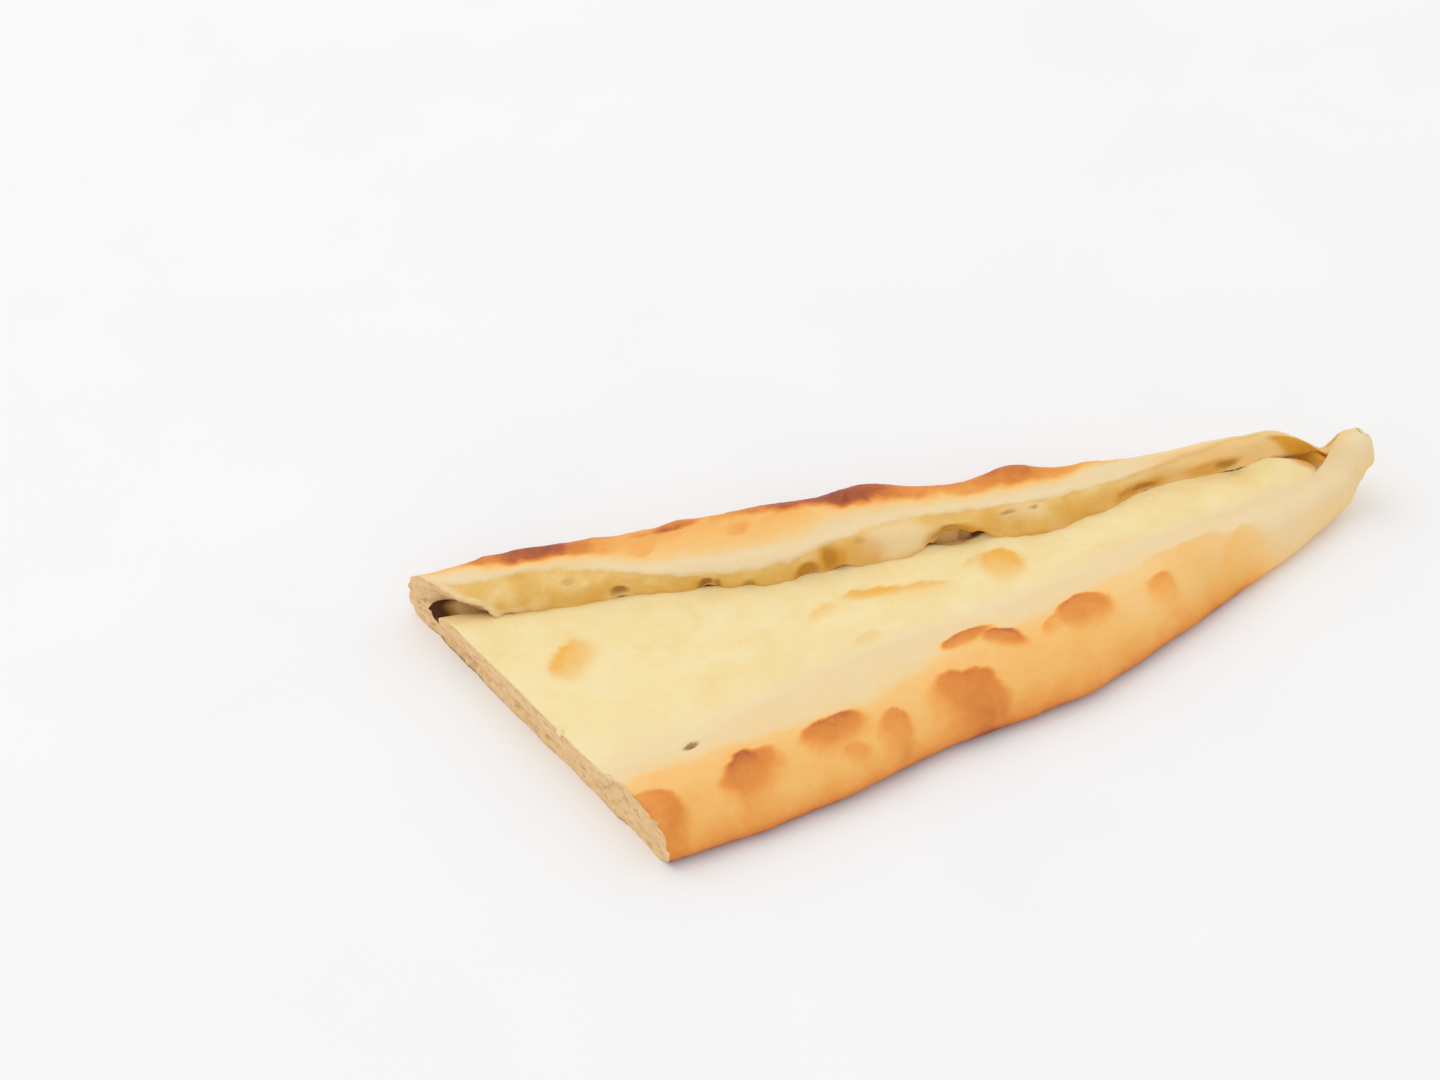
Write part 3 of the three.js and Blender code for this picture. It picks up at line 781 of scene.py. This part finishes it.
def crustMaterial():
    material = newMaterial("bakedCrust")
    bake, soakedAndPocketShade, recessShade, ochreAndShade = (attribute(material, name)
                                for name in ("bake", "soakedAndPocketShade", "recessShade", "ochreAndShade"))
    broad, fine = grainNoise(material, 7.5, 5, 0.6, 0.6), grainNoise(material, 0.9, 4, 0.6)
    swing = calculate(material, "MULTIPLY_ADD", broad, crustFinish["mottle"] * 2,
                      -crustFinish["mottle"])
    swing = calculate(material, "MULTIPLY", swing,
                      calculate(material, "MULTIPLY_ADD", bake, 1.4, 0.3))
    tone = calculate(material, "ADD", bake, swing)
    tone = calculate(material, "ADD", tone, calculate(material, "MULTIPLY_ADD", fine,
                                                      crustFinish["grain"],
                                                      -crustFinish["grain"] / 2))
    crust = colourRamp(material, tone, crustFinish["ramp"])
    wallTone = calculate(material, "MULTIPLY_ADD", grainNoise(material, 6, 3, 0.5, 0.2), 1.3, -0.15)
    # Wall colour for the soaked wall, also laid in the pocket as painted shade.
    crust = mixColour(material, soakedAndPocketShade, crust, colourRamp(material, wallTone, crustFinish["wall"]))
    # Ochre: partly the soaked dough's colour, partly painted shade.
    crust = tinted(material, crust, ochreAndShade, 0.9, crustFinish["ochreAndShade"])
    # Painted shade in recesses: darker towards the hollow colour, near-black in the slot.
    recessShadeShare = calculate(material, "MINIMUM", calculate(material, "MULTIPLY", recessShade, 0.85), 0.85)
    crust = mixColour(material, recessShadeShare, crust, linear(crustFinish["hollow"]))
    slotShadeShare = calculate(material, "SUBTRACT", calculate(material, "MULTIPLY", recessShade, 2), 2.2)
    crust = mixColour(material, calculate(material, "MAXIMUM", slotShadeShare, 0), crust,
                      linear(crustFinish["slot"]))
    rough = calculate(material, "MULTIPLY_ADD", bake, -0.15, 0.7)
    rough = calculate(material, "MULTIPLY_ADD", soakedAndPocketShade, -0.2, rough)
    rough = calculate(material, "MULTIPLY_ADD", broad, 0.12, rough)
    normal = bumpFrom(material, grainNoise(material, 2.2, 4, 0.55), 0.3, 0.5)
    normal = bumpFrom(material, grainNoise(material, 0.45, 4, 0.6), 0.08, 0.6, normal)
    finishWith(material, crust, rough, normal, crustFinish["shader"])
    return material


crumbFinish = {
    # The pore colour is painted shade in the crumb's pores.
    "light": "eecb9a", "dark": "e1b781", "pore": "b98850",
    "shader": {"Subsurface Weight": 0.12, "Subsurface Radius": (0.004, 0.0025, 0.0015),
               "Specular IOR Level": 0.25},
}


def crumbMaterial():
    material = newMaterial("cutCrumb")
    recessShade = attribute(material, "recessShade")
    tone = grainNoise(material, 3.2, 5, 0.65, 0.4, (1, 1, 3.5))
    colour = colourRamp(material, tone, [(0.34, crumbFinish["dark"]), (0.6, crumbFinish["light"])])
    # Painted shade in the pores.
    colour = tinted(material, colour, recessShade, 0.6, crumbFinish["pore"])
    normal = bumpFrom(material, grainNoise(material, 0.9, 4, 0.6), 0.12, 0.7)
    finishWith(material, colour, 0.85, normal, crumbFinish["shader"])
    return material


cheeseFinish = {
    "light": "f3e2b0", "body": "f2dca0", "warm": "efd594", "toast": "f0b449", "strip": "edd5a8",
    # The pocket and pin colours are painted shade.
    "pocketShade": "d8930e", "edge": "e6c070", "pin": "7d5c30",
    "shader": {"Subsurface Weight": 0.12, "Subsurface Radius": (0.005, 0.0035, 0.002),
               "Specular IOR Level": 0.4},
}


def cheeseMaterial():
    material = newMaterial("meltedCheese")
    toast, edge, strip, pocketShade = (attribute(material, name)
                                  for name in ("toast", "edge", "strip", "pocketShade"))
    broad, streak = grainNoise(material, 11, 4, 0.55, 0.8), grainNoise(material, 3.2, 4, 0.6, 0.5)
    stops = [(0.3, cheeseFinish["warm"]), (0.5, cheeseFinish["body"]),
             (0.72, cheeseFinish["light"])]
    mix = calculate(material, "MULTIPLY_ADD", streak, 0.3,
                    calculate(material, "MULTIPLY", broad, 0.75))
    colour = colourRamp(material, mix, stops)
    colour = tinted(material, colour, strip, 0.85, cheeseFinish["strip"])
    brown = calculate(material, "MULTIPLY", toast,
                      calculate(material, "MULTIPLY_ADD", streak, 0.9, 0.65))
    colour = mixColour(material, brown, colour, linear(cheeseFinish["toast"]))
    colour = tinted(material, colour, edge, 0.3, cheeseFinish["edge"])
    # Painted shade: ochre in the pocket where the nib's folds part.
    colour = tinted(material, colour, pocketShade, 0.85, cheeseFinish["pocketShade"])
    # Painted shade: a dark colour in the pinholes.
    colour = mixColour(material, attribute(material, "recessShade"), colour, linear(cheeseFinish["pin"]))
    rough = calculate(material, "MULTIPLY_ADD", streak, 0.25, 0.38)
    normal = bumpFrom(material, grainNoise(material, 3.0, 3, 0.5), 0.25, 0.45)
    normal = bumpFrom(material, grainNoise(material, 0.6, 3, 0.5), 0.05, 0.45, normal)
    finishWith(material, colour, rough, normal, cheeseFinish["shader"])
    return material


def floorMaterial():
    material = newMaterial("paleTable")
    tone = colourRamp(material, grainNoise(material, 60, 2), [(0.3, "f3f3f4"), (0.7, "f5f5f5")])
    normal = bumpFrom(material, grainNoise(material, 1.0, 2), 0.02, 0.2)
    finishWith(material, tone, 0.8, normal, {"Specular IOR Level": 0.2})
    return material


# Small bubbles and crumbs, scattered by Geometry Nodes where an attribute of the host piece says.

bubbleSunk = 0.62  # share of a bubble's radius that lies under the skin


def bubbleTree(name, where, material):
    tree = bpy.data.node_groups.new(name, "GeometryNodeTree")
    tree.is_modifier = True
    face = tree.interface
    face.new_socket("Geometry", in_out="INPUT", socket_type="NodeSocketGeometry")
    for key in ("density", "gap", "smallest", "largest", "flatness"):
        face.new_socket(key, in_out="INPUT", socket_type="NodeSocketFloat")
    face.new_socket("seed", in_out="INPUT", socket_type="NodeSocketInt")
    face.new_socket("Geometry", in_out="OUTPUT", socket_type="NodeSocketGeometry")
    nodes, link = tree.nodes, tree.links.new
    given, end = nodes.new("NodeGroupInput"), nodes.new("NodeGroupOutput")
    place = nodes.new("GeometryNodeInputNamedAttribute")
    place.data_type = "FLOAT"
    place.inputs["Name"].default_value = where
    scatter = nodes.new("GeometryNodeDistributePointsOnFaces")
    scatter.distribute_method = "POISSON"
    link(given.outputs["Geometry"], scatter.inputs["Mesh"])
    link(given.outputs["gap"], scatter.inputs["Distance Min"])
    link(given.outputs["density"], scatter.inputs["Density Max"])
    link(place.outputs["Attribute"], scatter.inputs["Density Factor"])
    link(given.outputs["seed"], scatter.inputs["Seed"])
    ball = nodes.new("GeometryNodeMeshIcoSphere")
    ball.inputs["Radius"].default_value, ball.inputs["Subdivisions"].default_value = 1, 2
    size = nodes.new("FunctionNodeRandomValue")
    link(given.outputs["smallest"], size.inputs[2])
    link(given.outputs["largest"], size.inputs[3])
    link(given.outputs["seed"], size.inputs["Seed"])
    height = nodes.new("ShaderNodeMath")
    height.operation = "MULTIPLY"
    link(size.outputs[1], height.inputs[0])
    link(given.outputs["flatness"], height.inputs[1])
    scale = nodes.new("ShaderNodeCombineXYZ")
    link(size.outputs[1], scale.inputs["X"])
    link(size.outputs[1], scale.inputs["Y"])
    link(height.outputs[0], scale.inputs["Z"])
    put = nodes.new("GeometryNodeInstanceOnPoints")
    link(scatter.outputs["Points"], put.inputs["Points"])
    link(scatter.outputs["Rotation"], put.inputs["Rotation"])
    sunk = nodes.new("GeometryNodeTransform")
    sunk.inputs["Translation"].default_value = (0, 0, -bubbleSunk)
    link(ball.outputs["Mesh"], sunk.inputs["Geometry"])
    link(sunk.outputs["Geometry"], put.inputs["Instance"])
    link(scale.outputs["Vector"], put.inputs["Scale"])
    real, paint = nodes.new("GeometryNodeRealizeInstances"), nodes.new("GeometryNodeSetMaterial")
    link(put.outputs["Instances"], real.inputs["Geometry"])
    link(real.outputs["Geometry"], paint.inputs["Geometry"])
    paint.inputs["Material"].default_value = material
    link(paint.outputs["Geometry"], end.inputs["Geometry"])
    return tree


def scattered(name, host, tree, sizes):
    piece = bpy.data.objects.new(name, host.data.copy())
    bpy.context.scene.collection.objects.link(piece)
    modifier = piece.modifiers.new("bubbles", "NODES")
    modifier.node_group = tree
    for item in tree.interface.items_tree:
        if item.in_out == "INPUT" and item.name in sizes:
            modifier[item.identifier] = sizes[item.name]
    bpy.context.view_layer.update()
    grown = piece.evaluated_get(bpy.context.evaluated_depsgraph_get())
    made = bpy.data.meshes.new_from_object(grown)
    made.name = name
    piece.modifiers.remove(modifier)
    piece.data = made
    made.polygons.foreach_set("use_smooth", [True] * len(made.polygons))
    print(name, "has", len(made.polygons), "faces")
    return piece


crust, crumbSkin, cheeseSkin = crustMaterial(), crumbMaterial(), cheeseMaterial()
print("materials ready")

doughRows, doughValues = bakedDough()
low, high = (np.array(corner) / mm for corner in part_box("dough_boat"))
doughRows = fitInside(doughRows, low, high)
doughCut = (0, *cutFace(doughRows[0], crumb), 1)
doughPiece = meshFrom("doughBoat", doughRows, [doughCut, fanCap(doughRows)], doughValues,
                      [crust, crumbSkin])

cheeseRows, cheeseValues = meltedCheese()
cheeseCrumb = {**crumb, "grain": 0.55, "pores": 60, "depth": 0.5, "uneven": 0.25, "seed": 47}
cheeseCut = (0, *cutFace(cheeseRows[0], cheeseCrumb), 1)
cheesePiece = meshFrom("creamCheese", cheeseRows, [cheeseCut, fanCap(cheeseRows)], cheeseValues,
                       [cheeseSkin, crumbSkin])

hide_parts("dough_boat")
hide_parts("cheese_filling")
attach(doughPiece, "root")
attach(cheesePiece, "root")

bubbleSizes = {  # lengths in metres, density in bubbles for a square metre
    "crustBubbles": {"density": 60000.0, "gap": 0.0026, "smallest": 0.0004, "largest": 0.0013,
                     "flatness": 0.3, "seed": 3},
    "cutCrumbs": {"density": 500000.0, "gap": 0.001, "smallest": 0.00015, "largest": 0.0005,
                  "flatness": 0.6, "seed": 5},
    "cheeseBubbles": {"density": 30000.0, "gap": 0.0035, "smallest": 0.0005, "largest": 0.0015,
                      "flatness": 0.15, "seed": 7},
}
bubbleHosts = {"crustBubbles": (doughPiece, "blisters", crust, "dough"),
               "cutCrumbs": (doughPiece, "crumbs", crumbSkin, "dough"),
               "cheeseBubbles": (cheesePiece, "bubbles", cheeseSkin, "cheese")}
for name, (host, where, material, slot) in bubbleHosts.items():
    piece = scattered(name, host, bubbleTree(name, where, material), bubbleSizes[name])
    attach(piece, "root")
print("dough and cheese made")

# Floor, light and camera.

studio = {
    "floorWide": 6.0, "skyStrength": 0.93, "softboxPower": 6.0, "softboxWide": 1.6,
    "softboxFrom": (-0.7, 0.9, 1.7), "lens": 80, "distance": 0.7859,
    "azimuth": -19.14, "elevation": 43.03, "roll": -3.3, "aim": (-0.037, 0.0438, 0.0),
    "sensorWide": 36, "clip": (0.01, 50),
}


def makeFloor():
    half = studio["floorWide"] / 2
    mesh = bpy.data.meshes.new("tableTop")
    mesh.from_pydata([(-half, -half, 0), (half, -half, 0), (half, half, 0), (-half, half, 0)], [],
                     [(0, 1, 2, 3)])
    mesh.materials.append(floorMaterial())
    floor = bpy.data.objects.new("tableTop", mesh)
    bpy.context.scene.collection.objects.link(floor)


def makeLight():
    world = bpy.data.worlds.new("studioSky")
    bpy.context.scene.world = world
    world.use_nodes = True
    world.node_tree.nodes["Background"].inputs["Color"].default_value = (1, 1, 1, 1)
    world.node_tree.nodes["Background"].inputs["Strength"].default_value = studio["skyStrength"]
    lamp = bpy.data.lights.new("softbox", "AREA")
    lamp.energy, lamp.size = studio["softboxPower"], studio["softboxWide"]
    softbox = bpy.data.objects.new("softbox", lamp)
    softbox.location = studio["softboxFrom"]
    softbox.rotation_euler = (-Vector(studio["softboxFrom"])).to_track_quat("-Z", "Y").to_euler()
    bpy.context.scene.collection.objects.link(softbox)


def makeCamera():
    a, e = math.radians(studio["azimuth"]), math.radians(studio["elevation"])
    back = Vector((math.sin(a) * math.cos(e), -math.cos(a) * math.cos(e), math.sin(e)))
    lens = bpy.data.cameras.new("camera")
    lens.lens, lens.sensor_width = studio["lens"], studio["sensorWide"]
    lens.clip_start, lens.clip_end = studio["clip"]
    camera = bpy.data.objects.new("camera", lens)
    camera.location = Vector(studio["aim"]) + back * studio["distance"]
    turned = ((-back).to_track_quat("-Z", "Y").to_matrix()
              @ Matrix.Rotation(math.radians(studio["roll"]), 3, "Z"))
    camera.rotation_euler = turned.to_euler()
    bpy.context.scene.collection.objects.link(camera)
    bpy.context.scene.camera = camera


makeFloor()
makeLight()
makeCamera()
bpy.context.scene.view_settings.view_transform = "Standard"
print("studio set")
